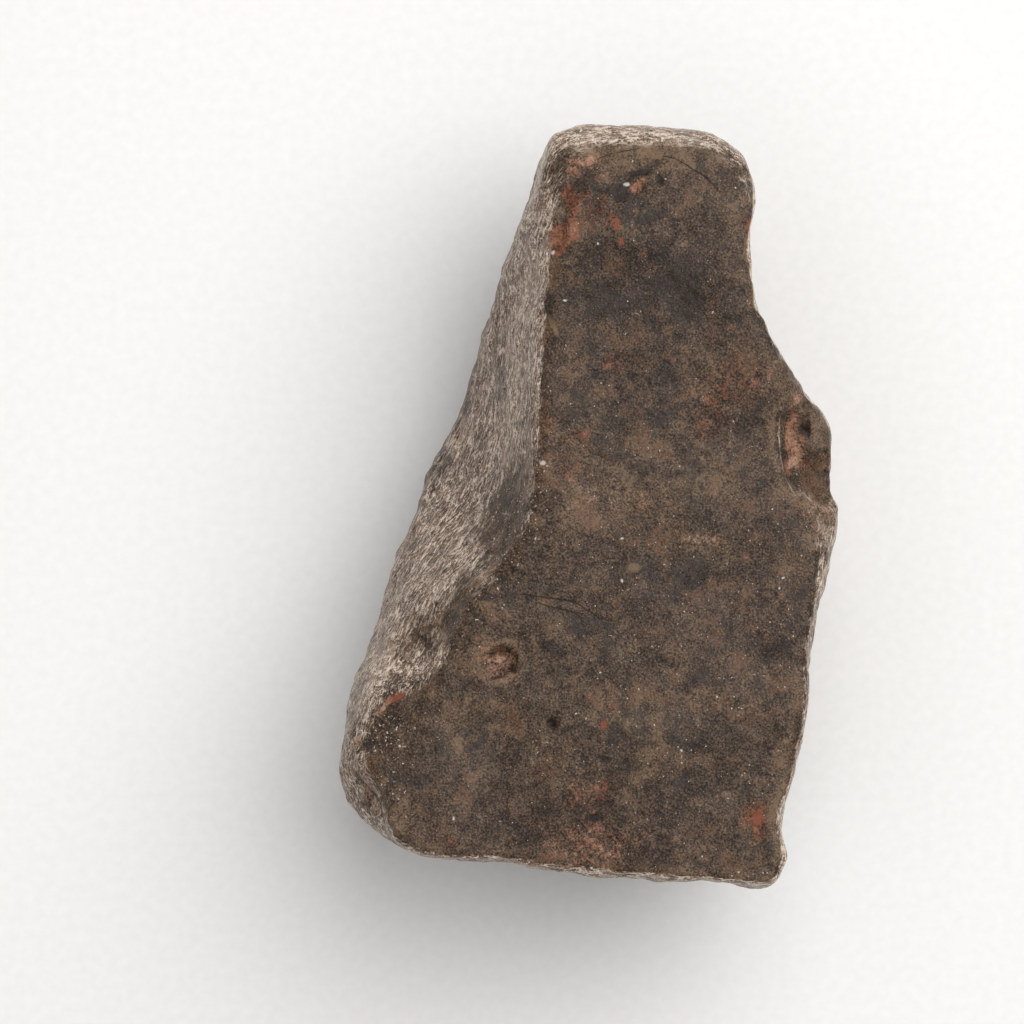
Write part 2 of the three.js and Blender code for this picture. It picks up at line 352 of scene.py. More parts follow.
# Pits in the top: x, y, half sizes, turn, depth.
PITS = [
    (-3.9, -22.5, 0.55, 0.45, 10, 0.9),  # small dark hole
    (-8.7, -15.4, 0.6, 0.5, -30, 0.3),  # rusty pit: three hollows
    (-7.9, -16.7, 0.5, 0.7, 10, 0.35),
    (-9.6, -17.8, 0.8, 0.4, 10, 0.3),
    (5.4, 33.1, 1.1, 0.6, 25, 0.3),  # pit on the nose
    (3.4, 33.4, 0.9, 0.35, 60, 0.3),
    (-4.5, 19.6, 0.45, 1.1, 10, 0.5),  # pit on the ridge
    (1.8, -30.2, 2.4, 1.8, 30, 0.15),
    (17.2, -32.8, 1.4, 1.9, 0, 0.2),
    (-1.0, 14.8, 2.0, 1.2, 20, 0.12),
    (3.0, -21.5, 1.3, 1.0, 0, 0.15),
    (22.7, 8.4, 0.45, 1.5, 0, 0.9),  # holes in the shoulder's crevice
    (21.9, 9.1, 0.35, 0.4, 0, 0.6),
    (16.7, 26.4, 1.0, 1.6, 0, 0.4),  # notch in the nose's right edge
    (-22.2, -30.2, 1.1, 2.6, 24, 0.5),  # hollow of the lower left chip
]

# Lines along the top: points, half width, depth; a raised line has a depth below zero.
LINES = [
    ([(-2.9, 26.8), (-2.6, 30.5), (-2.0, 32.6), (0.2, 35.3)], 0.9, 0.4),  # crease of the nose
    ([(1.0, 36.0), (4.1, 36.9), (9.0, 36.0), (13.4, 32.7)], 0.45, 0.12),
    ([(-4.0, 36.6), (-4.5, 33.0)], 0.5, -0.2),
    ([(-7.0, -9.2), (-1.6, -9.9), (0.9, -11.6)], 0.5, 0.12),
    ([(20.0, 9.9), (19.8, 8.6), (20.0, 7.1), (20.6, 5.1), (21.0, 3.8), (22.4, 1.9), (22.9, 1.0)], 0.45, -0.3),
    ([(21.8, 9.4), (22.3, 7.0), (22.4, 5.5), (23.3, 5.0), (24.3, 3.8), (24.9, 2.6), (24.7, 0.6)], 0.5, -0.5),
    ([(22.6, 10.6), (22.8, 6.6)], 0.55, 0.5),
    ([(23.6, 5.8), (25.4, 3.8)], 0.4, 0.3),
    ([(17.8, 19.0), (19.6, 14.4), (19.1, 12.6), (20.0, 10.4)], 0.45, -0.2),
    ([(-24.3, -22.8), (-24.0, -26.0), (-22.6, -29.4), (-21.0, -31.2), (-20.0, -34.0)], 0.5, -0.3),
]


def ellipse_share(p, x, y, rx, ry, turn):
    """Scaled distance from an upright ellipse's axis: one on its rim."""
    c, s = math.cos(math.radians(turn)), math.sin(math.radians(turn))
    dx, dy = p[:, 0] - x, p[:, 1] - y
    return np.hypot((dx * c + dy * s) / rx, (dy * c - dx * s) / ry)


def line_distance(p, points):
    """Plan distance from a line of points: the least over its straight stretches."""
    best = np.full(len(p), 1e9)
    for (ax, ay), (bx, by) in zip(points[:-1], points[1:]):
        ux, uy = bx - ax, by - ay
        t = np.clip(((p[:, 0] - ax) * ux + (p[:, 1] - ay) * uy) / (ux * ux + uy * uy), 0, 1)
        best = np.minimum(best, np.hypot(p[:, 0] - ax - t * ux, p[:, 1] - ay - t * uy))
    return best


def ragged(p, size, reach, seeds):
    """Points shifted in plan by two noises, so that rims drawn round them are ragged."""
    return p + np.stack([noise(p, size, seed) for seed in seeds] + [np.zeros(len(p))], 1) * reach


def on_top(p, n, heights, facing):
    """One on high faces that look up, and zero on the sides and below."""
    return smooth_step(*heights, p[:, 2]) * smooth_step(*facing, n[:, 2])


def relief(p, n, settings):
    """Height of the skin over the smooth form, in mm: dents and bumps that are bolder on steep faces, less the pits."""
    steep = smooth_step(*STEEP, 1 - np.abs(n[:, 2]))
    h = np.zeros(len(p))
    for size, height, seed, more in WAVES:
        h += height * noise(p, size, seed) * (1 + more * steep)
    size, height, seed = RIDGES
    h += height * noise(round_the_stone(p), size, seed) * steep
    size, seed, depth, reach, without = DIMPLES
    distance, tag = nearest_cell(p, size, seed)
    h -= depth * smooth_step(reach, 0.0, distance) * (tag > without)
    upper = on_top(p, n, PIT_HEIGHTS, PIT_FACING)
    bent = ragged(p, *PIT_BEND)
    for x, y, rx, ry, turn, depth in PITS:
        h -= upper * depth * smooth_step(*PIT_RIM, ellipse_share(bent, x, y, rx, ry, turn))
    for points, half, depth in LINES:
        h -= upper * depth * smooth_step(1.0, 0.0, line_distance(bent, points) / half)
    return h * settings.roughening


def edge_wear(p, n, lump_height):
    """How sharply the form turns outwards: a little way under an edge the stone's function is nearer zero."""
    under = stone(p - n * EDGE_DEPTH, lump_height) / EDGE_DEPTH
    flat = (stone(p - n * EDGE_STEP, lump_height) - stone(p + n * EDGE_STEP, lump_height)) / (2 * EDGE_STEP)
    return np.clip((under - flat) * EDGE_STRENGTH, -1, 1) * smooth_step(*EDGE_HEIGHTS, p[:, 2])


def bare_and_glare_share(p, n):
    """Share of the skin that has lost its varnish, which also carries painted glare: all on steep upper faces, and less
    lower down.
    """
    bare = BARE_BELOW + (1 - BARE_BELOW) * smooth_step(*BARE_HEIGHTS, p[:, 2])
    return smooth_step(*BARE_DIPS, 1 - np.abs(n[:, 2])) * bare


def round_the_stone(p):
    """Place as way along the outline to the middle of its length, shortened, height, and distance from it, in mm."""
    bearing, wall = plan_polar(p)
    turned = (OUTLINE_BEARING - ROUND_FROM) % (2 * math.pi)
    order = np.argsort(turned)
    line = OUTLINE_RADIUS[order] * np.exp(1j * turned[order])
    way = np.concatenate([[0], np.cumsum(np.abs(np.diff(line)))])
    along = np.interp((bearing - ROUND_FROM) % (2 * math.pi), turned[order], way)
    return np.stack([np.abs(along - way[-1] / 2) / ROUND_STRETCH, p[:, 2], wall], 1)


def rest_on_floor(p):
    """Keeps the resting face flat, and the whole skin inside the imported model's box."""
    low, high = np.array(CAD_BOX[0]) / MM, np.array(CAD_BOX[1]) / MM
    return np.clip(p, low, high)


# ---------------------------------------------------------------------------
# Stains, with painted highlights and glints among them: x, y, half sizes, turn, strength
# ---------------------------------------------------------------------------

STAIN_BEND = (2.6, 2.0, (51, 52))  # spacing, reach and seeds of the bend of their rims
STAIN_RIM = (1.5, 0.4)
STAIN_HEIGHTS = (22.0, 26.0)
STAIN_FACING = (0.05, 0.35)
STAINS_AND_HIGHLIGHTS = {
    "rust": [
        (5.3, 33.0, 1.2, 0.9, 25, 1.0),  # pit on the nose
        (-2.6, 28.4, 1.0, 2.2, -20, 1.0),  # foot of the crease
        (-1.8, 31.4, 0.8, 2.2, -25, 0.9),
        (-0.6, 35.0, 2.2, 1.3, 35, 0.75),
        (0.5, 30.8, 1.3, 1.4, 0, 0.6),
        (2.7, 29.4, 0.9, 0.6, 0, 0.7),
        (5.8, 25.1, 0.5, 0.4, 0, 0.7),
        (-9.4, -16.2, 2.5, 2.4, 30, 0.62),  # rusty pit
        (-20.9, -20.5, 1.4, 0.7, 42, 0.9),
        (-24.0, -24.5, 0.8, 1.3, 0, 0.8),
        (-23.0, -30.0, 1.2, 2.6, 24, 0.45),
        (-14.5, -35.2, 1.4, 0.7, -20, 0.5),
        (-1.4, 7.3, 1.6, 0.5, 20, 0.7),
        (2.8, 14.7, 2.2, 1.3, 20, 0.5),
        (-4.4, 8.6, 2.2, 0.9, 35, 0.5),
        (-2.6, 4.0, 3.0, 2.0, 0, 0.4),
        (1.0, 0.8, 3.6, 2.4, 10, 0.3),
        (2.0, -20.4, 1.6, 2.8, 10, 0.45),
        (0.2, -29.6, 3.2, 2.6, 30, 0.5),
        (0.2, -35.2, 5.4, 2.8, 0, 0.5),
        (17.2, -32.8, 1.7, 2.5, 0, 0.66),
        (14.6, 12.6, 5.0, 3.0, 10, 0.5),
        (12.4, 9.0, 2.0, 2.4, 0, 0.5),
        (16.9, 28.8, 0.5, 0.8, 0, 0.8),
        (21.2, 6.8, 1.3, 4.0, 8, 0.85),  # long scoop of the shoulder
        (22.6, 11.4, 1.2, 0.8, -20, 0.6),
        (25.0, 4.6, 1.6, 1.0, -50, 0.7),
        (22.8, 4.2, 0.5, 1.0, 0, 0.8),
        (23.4, -0.6, 1.4, 1.0, 0, 0.5),
        (12.2, -3.6, 1.8, 1.2, 10, 0.45),
        (5.6, 0.4, 1.6, 1.0, 0, 0.45),
        (-6.0, 6.0, 1.4, 2.4, -10, 0.3),
    ],
    "dark": [
        (5.4, 14.0, 5.5, 3.0, 30, 0.5),
        (5.4, 9.8, 3.4, 2.0, 0, 0.95),
        (-9.6, -8.8, 3.0, 2.0, 20, 0.6),
        (10.6, -7.8, 2.6, 2.0, 0, 0.9),
        (21.0, -14.0, 2.0, 3.6, 0, 0.5),
        (-18.0, -28.0, 3.0, 2.2, 0, 0.5),
        (4.0, 31.4, 4.0, 1.2, -25, 0.5),
        (3.4, 31.6, 1.2, 1.0, 0, 0.9),
        (5.4, 34.6, 2.4, 0.6, 8, 0.8),
        (0.6, 22.6, 5.0, 4.0, 0, 0.6),
        (8.0, 21.2, 7.0, 5.0, 0, 0.8),
        (22.8, 8.2, 0.4, 1.4, 0, 0.8),  # crevice of the shoulder
        (8.0, -30.0, 3.0, 2.0, 0, 0.3),
        (-6.0, -33.0, 3.0, 1.6, 0, 0.3),
        (1.6, -28.8, 1.0, 0.7, -20, 0.9),
        (0.6, -33.2, 1.2, 0.6, 10, 0.7),
    ],
    "pale": [
        (1.0, 0.0, 4.6, 2.8, 20, 1.0),
        (0.4, -35.6, 4.4, 2.4, 0, 0.4),
        (9.6, 1.4, 7.0, 2.6, 8, 0.6),
        (12.0, -4.2, 3.0, 1.8, 0, 0.7),
        (-9.4, -22.2, 6.6, 3.2, 10, 0.45),
        (18.4, 2.4, 3.6, 2.4, 0, 0.4),
        (3.0, -21.6, 3.0, 2.0, 0, 0.3),
        (10.6, 18.4, 2.6, 2.0, 0, 0.3),
        (20.8, 14.0, 1.8, 4.4, 22, 0.9),
        (23.8, -1.0, 1.6, 2.4, 0, 0.8),
        (21.2, -32.4, 1.6, 3.4, 0, 0.8),
        (7.0, 37.5, 12.0, 3.4, 0, 1.0),
        (-2.6, 28.6, 1.2, 1.8, 0, 0.35),
        (-1.2, 34.8, 2.4, 1.6, 25, 0.6),
        (5.4, 33.0, 1.2, 0.8, 25, 0.6),
        (-9.2, -16.4, 2.0, 2.0, 0, 0.7),
        (-20.9, -20.5, 1.4, 0.8, 42, 1.0),
        (-24.0, -25.0, 1.0, 2.0, 0, 0.9),
        (21.2, 6.6, 1.1, 3.6, 8, 0.7),
        (25.0, 6.0, 1.6, 3.0, 0, 0.7),
        (-6.6, 20.0, 1.7, 16.0, -8, 1.0),  # painted highlights: pale strips along the ridge, the crisp lower left edge and the rim of the heel
        (-21.0, -16.4, 1.4, 6.0, -38, 0.9),
        (0.0, -38.9, 22.0, 0.9, -1, 0.9),
    ],
    # where the painted glints gather
    "specks": [
        (-8.0, -1.6, 3.6, 8.0, -10, 1.0),
        (-20.5, -23.7, 3.0, 3.2, 0, 1.0),
        (-22.3, -28.4, 2.6, 5.0, 20, 0.8),
        (-4.7, 4.2, 1.0, 1.4, 0, 1.0),
        (16.3, -38.6, 3.0, 1.4, 0, 0.9),
        (9.6, -25.0, 2.4, 2.0, 0, 0.7),
        (-14.0, -10.0, 6.0, 6.0, 40, 0.6),
        (9.0, -10.0, 16.0, 20.0, 0, 0.25),
    ],
    "kept": [  # varnish that is still on the left flank, round the shoulder and on the rims of the nose
        (-16.2, -9.6, 4.4, 9.0, -24, 0.36),
        (-8.6, -1.4, 3.0, 8.0, -20, 0.9),
        (-13.2, -10.8, 2.4, 6.0, -36, 0.85),
        (22.0, 8.0, 5.0, 12.0, 10, 1.0),
        (23.4, -3.0, 2.0, 4.0, 0, 0.5),
        (22.0, -20.0, 3.0, 14.0, 0, 0.6),
        (17.6, 27.0, 2.4, 10.0, 0, 1.0),
        (20.4, -34.0, 3.0, 3.4, 0, 0.4),
        (-22.4, -29.6, 2.2, 5.0, 20, 0.6),
        (-20.0, -20.0, 4.0, 2.4, 42, 0.45),
        (7.0, 34.4, 13.0, 3.6, 0, 0.72),
        (-9.2, -16.1, 3.4, 3.4, 0, 1.0),
        (5.4, 32.9, 3.4, 3.0, 0, 1.0),
    ],
}


def stain(p, n, patches):
    """Strength of a stain, 0 to 1: soft ellipses seen from above, their rims bent by noise."""
    bent = ragged(p, *STAIN_BEND)
    total = np.zeros(len(p))
    for x, y, rx, ry, turn, strength in patches:
        total = np.maximum(total, strength * smooth_step(*STAIN_RIM, ellipse_share(bent, x, y, rx, ry, turn)))
    return total * on_top(p, n, STAIN_HEIGHTS, STAIN_FACING)


# ---------------------------------------------------------------------------
# Materials
# ---------------------------------------------------------------------------


def linear(code):
    """An sRGB hex colour as linear red, green, blue and alpha."""
    channels = [int(code[i : i + 2], 16) / 255 for i in (1, 3, 5)]
    return [c / 12.92 if c <= 0.04045 else ((c + 0.055) / 1.055) ** 2.4 for c in channels] + [1.0]


def add(tree, kind, inputs=None, out=0, stops=(), **settings):
    """Adds a node and gives one of its outputs. An input is a socket to link, a hex colour or a plain value."""
    node = tree.nodes.new("ShaderNode" + kind)
    for name, value in settings.items():
        setattr(node, name, value)
    for key, value in (inputs or {}).items():
        if isinstance(value, bpy.types.NodeSocket):
            tree.links.new(value, node.inputs[key])
        else:
            node.inputs[key].default_value = linear(value) if isinstance(value, str) else value
    for number, (place, code) in enumerate(stops):
        elements = node.color_ramp.elements
        element = elements[number] if number < 2 else elements.new(place)
        element.position = place
        element.color = linear(code) if isinstance(code, str) else code
    return node.outputs[out] if node.outputs else node


def own_colours(settings, stops):
    """The stops of a ramp, the names of settings among them turned to colours."""
    return [(place, [*getattr(settings, code), 1.0] if hasattr(settings, code) else code) for place, code in stops]


# Noise in the stone: grain in mm, octaves, strength of the finer ones, bend.
FIELDS = {
    "broad": (7.0, 2.0, 0.5, 0.6),
    "cloud": (4.0, 3.0, 0.6, 0.8),
    "blotch": (2.0, 3.0, 0.65, 0.4),
    "mid": (0.9, 2.0, 0.6, 0.0),
    "grit": (0.2, 1.0, 0.6, 0.0),
    "crumb": (0.7, 3.0, 0.7, 0.4),
    "glint": (0.26, 1.0, 0.6, 0.3),
    "net": (0.7, 1.0, 0.5, 0.3),
    "knobs": (0.42, 1.0, 0.5, 0.2),
}
FIELD_GAP = 1.7  # distance between the fields in the noise's fourth direction
# Thin lines where these fields cross their middle, and how far they reach. They run round the stone. They are
# raised in the bump, and their pale colour on steep faces is a painted highlight: streaks of light on fine relief.
RAISED_AND_HIGHLIGHT_LINES = {"net": 0.055, "knobs": 0.06}
SKIN = ("rust", "dark", "pale", "specks", "hollow", "bare_and_glare", "edge")  # the stone's own attributes

# Tones: the start and the share of each field and attribute, then the ramp's colours from dark to pale.
VARNISH_TONE = (
    0.47,
    {"broad": 0.5, "cloud": 0.7, "blotch": 1.3, "mid": 0.8, "grit": 2.4, "pale": 0.26, "dark": -0.26, "edge": 0.4},
)
VARNISH = [(0.0, "#1c110a"), (0.25, "#35261b"), (0.5, "varnish_colour"), (0.75, "#5d4b3b"), (1.0, "#745e4a")]
# Steep faces: bare rock, and in the ramp's pale end painted glare, the reflection a steep face shows at a low angle.
BARE_GLARE_TONE = (
    0.41,
    {
        "net_lines": 0.53, "knobs_lines": 0.47, "mid": 1.0, "grit": 1.8, "blotch": 0.6, "broad": 0.5, "edge": 0.32,
        "cloud": 0.4, "pale": 0.15,
    },
)  # fmt: skip
BARE_GLARE = [(0.0, "#23140c"), (0.25, "#4a3324"), (0.5, "broken_colour"), (0.75, "#aa917d"), (1.0, "#e6d4c2")]
RUST_TONE = (0.5, {"blotch": 0.8, "crumb": 0.8, "grit": 0.7, "pale": 0.45})
RUST = [(0.25, "#451e0f"), (0.5, "rust_colour"), (0.75, "#8f624d"), (1.0, "#ad8a76")]

# Where the varnish is gone, and painted glare lies on steep faces: the attribute, its rim broken by the grain,
# and where the smooth step begins and ends.
BARE = {"bare_and_glare": 1.0, "blotch": 1.1, "crumb": 1.0, "net_lines": 0.12}
BARE_STEP = (0.2, 0.75)

# Layers over them: colour, shares, where the smooth step begins and ends, and the most that it covers.
LAYERS = [
    ("#654531", {"cloud": 1.0, "crumb": 0.7, "blotch": 0.6}, 0.06, 0.19, 0.45),  # ruddy clouds
    ("#332d29", {"cloud": -1.0, "crumb": 0.8, "broad": 0.5, "dark": 0.1}, 0.07, 0.19, 0.52),  # dark clouds
    ("#7d6650", {"blotch": 1.0, "crumb": 0.9, "broad": 0.4, "pale": 0.12}, 0.16, 0.30, 0.52),  # tan inclusions
    ("#20140d", {"hollow": 1.0, "grit": 0.6}, 0.0, 1.0, 0.75),  # darker at the bottom of pits and dents, by their depth
    ("rust", {"rust": 0.8, "crumb": 1.6, "mid": 0.8, "grit": 0.6}, 0.25, 0.80, 0.85),  # rust in grains
    ("#1a110b", {"grit": 0.6, "crumb": 1.0, "blotch": 0.4}, -0.20, -0.30, 0.6),  # dark pores
    ("#cfc5ba", {"glint": 1.0, "specks": 0.09, "blotch": 0.2}, 0.235, 0.285, 0.8),  # painted glints: pale specks standing in for the sparkle of metal and crystal grains
]

# Height of the grain, in mm, and how much bolder it is on broken faces, as a share.
GRAIN = {"mid": 0.20, "crumb": 0.10, "grit": 0.05}
GRAIN_LINES = {"net_lines": 0.10, "knobs_lines": 0.06}
GRAIN_ON_FRESH = 2.2
SHINE = (0.24, {"bare_and_glare": 0.12})  # specular level on the varnish, and what broken faces add
ROUGH = (0.52, {"blotch": 0.3, "bare_and_glare": -0.18, "rust": 0.2})
IOR = 1.52
DUST = 0.25  # weight of the pale sheen that fine dust gives at a low angle
DUST_ROUGH = 0.4
DUST_COLOUR = "#e2cfbd"

# Small marks by colour: x, y, half sizes and turn of upright ellipses.
PIT_COLOUR = "#1c120c"
MARKS = {
    PIT_COLOUR: [
        (-3.9, -22.4, 0.5, 0.42, 20),  # small hole
        (1.9, -30.9, 0.6, 0.4, 30),
        (0.5, -32.3, 0.9, 0.45, 10),
        (1.5, -26.2, 0.7, 0.4, -20),
        (5.2, 34.5, 1.6, 0.3, 8),  # rim of the nose's pit
        (7.3, 33.8, 0.4, 0.7, 20),
        (3.3, 31.9, 0.9, 0.5, 20),
        (-8.3, -15.0, 0.35, 0.2, 30),  # rusty pit
        (-7.8, -17.0, 0.25, 0.5, 20),
        (-9.6, -17.8, 0.8, 0.2, 10),
        (22.8, 8.0, 0.25, 1.0, 0),  # crevice of the shoulder
        (-7.0, 25.8, 0.3, 0.35, 0),
        (-4.5, 20.4, 0.25, 0.6, 20),
    ],
    "#77624a": [(-3.7, 18.6, 0.3, 1.3, 25), (4.6, -6.4, 0.8, 0.5, 0)],
    "#83452f": [
        (3.3, 27.3, 0.3, 0.45, 0),
        (2.9, 29.1, 0.3, 0.8, 0),
        (1.5, -22.7, 0.4, 0.5, 0),
        (17.4, -32.3, 0.6, 0.9, 0),
        (-19.8, -19.8, 0.4, 1.2, -60),
        (-23.8, -23.4, 0.4, 0.9, 0),
        (16.8, 29.0, 0.4, 0.8, 0),
    ],
    # white dots: painted glints
    "#cfc5ba": [
        (3.9, 33.3, 0.35, 0.2, 0),
        (0.9, 27.1, 0.13, 0.13, 0),
        (-3.7, 26.2, 0.18, 0.25, 0),
        (-2.5, 21.2, 0.2, 0.14, 0),
        (-4.8, 4.4, 0.3, 0.26, 0),
        (3.4, -3.4, 0.16, 0.12, 0),
        (3.4, -7.8, 0.14, 0.2, 0),
        (20.1, -7.5, 0.2, 0.12, 20),
        (19.7, -8.6, 0.12, 0.14, 0),
        (9.5, -25.3, 0.14, 0.14, 0),
        (-19.6, -24.9, 0.14, 0.14, 0),
        (-20.6, -33.7, 0.3, 0.4, 0),
        (-14.0, -32.3, 0.12, 0.25, 0),
    ],
}
MARK_BEND = 0.35  # how far a crumb may shift a mark's rim, in mm
MARK_COVER = 0.8
MARK_RIM = (1.3, 0.5)  # where a mark ends and where it is full, as shares of its half sizes
MARK_DENT = 0.15  # depth of pits and cracks in the grain, in mm
MARK_DEEP = 1000  # half height, which makes the ellipses upright columns
MARKS_UNTIL = (1.0, 0.6)  # marks fade out as the bare share goes from the second to the first
CRACK_COLOUR = "#2b1d15"
CRACK_WIDTH = 0.16
CRACK_OVERLAP = 1.2  # how much longer each ellipse is than its stretch
CRACKS = [
    [(1.0, 36.0), (2.6, 36.6), (5.1, 37.1)],
    [(7.8, 36.2), (9.0, 36.0), (11.9, 34.2), (13.4, 32.7)],
    [(-2.4, 32.0), (-1.2, 33.4), (0.8, 35.2)],
    [(-7.0, -9.2), (-1.6, -9.9), (0.9, -11.6)],
    [(-5.1, -10.2), (-0.9, -11.2)],
]


def crack_marks():
    """A long thin ellipse for each straight stretch of each crack."""
    marks = []
    for points in CRACKS:
        for (ax, ay), (bx, by) in zip(points[:-1], points[1:]):
            half, turn = math.hypot(bx - ax, by - ay) / 2, math.degrees(math.atan2(by - ay, bx - ax))
            marks.append(((ax + bx) / 2, (ay + by) / 2, half * CRACK_OVERLAP, CRACK_WIDTH / 2, turn))
    return marks


def chondrite(settings):
    """Weathered ordinary chondrite under a thin desert varnish.

    The varnish is dark brown and satin, mottled by the chondrules and metal beneath it. Steep broken faces have
    lost it: they are knobbly and catch more light, and their paleness is partly bare rock and partly painted glare,
    the reflection a steep face shows at a low angle. Pale specks on top are painted glints. Iron rusts in pits and
    patches, broken into grains.
    """
    material = bpy.data.materials.new("weathered_chondrite")
    material.use_nodes = True
    tree = material.node_tree
    tree.nodes.clear()
    where = add(tree, "TexCoord", out="Object")
    mm = add(tree, "VectorMath", {0: where, 3: 1 / MM}, operation="SCALE")
    value = {name: add(tree, "Attribute", out="Fac", attribute_name=name) for name in SKIN}
    around = add(tree, "Attribute", out="Vector", attribute_name="around")
    for number, (name, (size, octaves, fine, distortion)) in enumerate(FIELDS.items()):
        inputs = {"Vector": around if name in RAISED_AND_HIGHLIGHT_LINES else mm, "W": FIELD_GAP * number, "Scale": 1 / size}
        inputs |= {"Detail": octaves, "Roughness": fine, "Distortion": distortion}
        value[name] = add(tree, "TexNoise", inputs, out="Fac", noise_dimensions="4D")
    for name, reach in RAISED_AND_HIGHLIGHT_LINES.items():
        off = add(tree, "Math", {0: value[name], 1: 0.5}, operation="SUBTRACT")
        off = add(tree, "Math", {0: off}, operation="ABSOLUTE")
        value[name + "_lines"] = add(tree, "MapRange", {0: off, 1: reach, 2: 0.0}, interpolation_type="SMOOTHSTEP")

    def weigh(start, shares):
        """Sum of the fields, each less its middle of a half, and of the attributes, each times its share."""
        total = start - sum(share for name, share in shares.items() if name in FIELDS) / 2
        for name, share in shares.items():
            total = add(tree, "Math", {0: value[name], 1: share, 2: total}, operation="MULTIPLY_ADD")
        return total

    inputs = {0: weigh(0.0, BARE), 1: BARE_STEP[0], 2: BARE_STEP[1]}
    value["bare_and_glare"] = add(tree, "MapRange", inputs, interpolation_type="SMOOTHSTEP")
    varnish = add(tree, "ValToRGB", {0: weigh(*VARNISH_TONE)}, stops=own_colours(settings, VARNISH))
    # steep faces: bare rock with painted glare
    broken = add(tree, "ValToRGB", {0: weigh(*BARE_GLARE_TONE)}, stops=own_colours(settings, BARE_GLARE))
    rust = add(tree, "ValToRGB", {0: weigh(*RUST_TONE)}, stops=own_colours(settings, RUST))
    colour = add(tree, "Mix", {0: value["bare_and_glare"], 6: varnish, 7: broken}, out=2, data_type="RGBA")
    for tint, shares, begin, end, most in LAYERS:
        inputs = {0: weigh(0.0, shares), 1: begin, 2: end, 4: most}
        mask = add(tree, "MapRange", inputs, interpolation_type="SMOOTHSTEP")
        tint = rust if tint == "rust" else tint
        colour = add(tree, "Mix", {0: mask, 6: colour, 7: tint}, out=2, data_type="RGBA")

    # Marks: scaled distances from upright ellipses bent by a crumb, the least of each colour.
    bend = value["crumb"].node.outputs["Color"]
    place = add(tree, "VectorMath", {0: bend, 1: (MARK_BEND,) * 3, 2: mm}, operation="MULTIPLY_ADD")
    place = add(tree, "VectorMath", {0: place, 1: (MARK_BEND / 2,) * 3}, operation="SUBTRACT")
    inputs = {0: value["bare_and_glare"], 1: MARKS_UNTIL[0], 2: MARKS_UNTIL[1], 4: MARK_COVER}
    level = add(tree, "MapRange", inputs, interpolation_type="SMOOTHSTEP")
    dent = 0.0
    for code, marks in [(CRACK_COLOUR, crack_marks()), *MARKS.items()]:
        least = None
        for x, y, rx, ry, turn in marks:
            inputs = {0: place, 1: (x, y, 0), 2: (0, 0, math.radians(turn)), 3: (rx, ry, MARK_DEEP)}
            local = add(tree, "Mapping", inputs, vector_type="TEXTURE")
            share = add(tree, "VectorMath", {0: local}, out="Value", operation="LENGTH")
            least = share if least is None else add(tree, "Math", {0: least, 1: share}, operation="MINIMUM")
        inputs = {0: least, 1: MARK_RIM[0], 2: MARK_RIM[1], 4: level}
        mask = add(tree, "MapRange", inputs, interpolation_type="SMOOTHSTEP")
        colour = add(tree, "Mix", {0: mask, 6: colour, 7: code}, out=2, data_type="RGBA")
        if code in (CRACK_COLOUR, PIT_COLOUR):
            dent = add(tree, "Math", {0: mask, 1: -MARK_DENT, 2: dent}, operation="MULTIPLY_ADD")

    boldness = add(tree, "Math", {0: value["bare_and_glare"], 1: GRAIN_ON_FRESH, 2: 1.0}, operation="MULTIPLY_ADD")
    height = add(tree, "Math", {0: weigh(0.0, GRAIN), 1: boldness, 2: dent}, operation="MULTIPLY_ADD")
    height = add(tree, "Math", {0: weigh(0.0, GRAIN_LINES), 1: value["bare_and_glare"], 2: height}, operation="MULTIPLY_ADD")
    bump = add(tree, "Bump", {"Height": height, "Strength": 1.0, "Distance": MM * settings.grain})
    inputs = {"Base Color": colour, "Roughness": weigh(*ROUGH), "IOR": IOR, "Normal": bump}
    inputs |= {"Specular IOR Level": weigh(*SHINE)}
    inputs |= {"Sheen Weight": DUST, "Sheen Roughness": DUST_ROUGH, "Sheen Tint": DUST_COLOUR}
    add(tree, "OutputMaterial", {"Surface": add(tree, "BsdfPrincipled", inputs)})
    return material


PAPER = [(0.3, "#efeeec"), (0.7, "floor_colour")]
PAPER_TOOTH = 900.0  # grains of the tooth in a metre
PAPER_ROUGH = 0.9
PAPER_SHINE = 0.2
TENT_RISE = (0.45, 0.75)  # how high up, from 0 at the horizon to 1 overhead, the walls turn into the roof
TENT_HOLE = (0.94, 0.98)  # and where the roof gives way to the hole


def studio_paper(settings):
    """Matt white paper: a pale even floor with a very faint tooth."""
    material = bpy.data.materials.new("matt_white_paper")
    material.use_nodes = True
    tree = material.node_tree
    tree.nodes.clear()
    where = add(tree, "TexCoord", out="Object")
    tooth = add(tree, "TexNoise", {"Vector": where, "Scale": PAPER_TOOTH, "Detail": 2.0})
    tint = add(tree, "ValToRGB", {0: tooth}, stops=own_colours(settings, PAPER))
    inputs = {"Base Color": tint, "Roughness": PAPER_ROUGH, "Specular IOR Level": PAPER_SHINE}
    shader = add(tree, "BsdfPrincipled", inputs)
    add(tree, "OutputMaterial", {"Surface": shader})
    return material


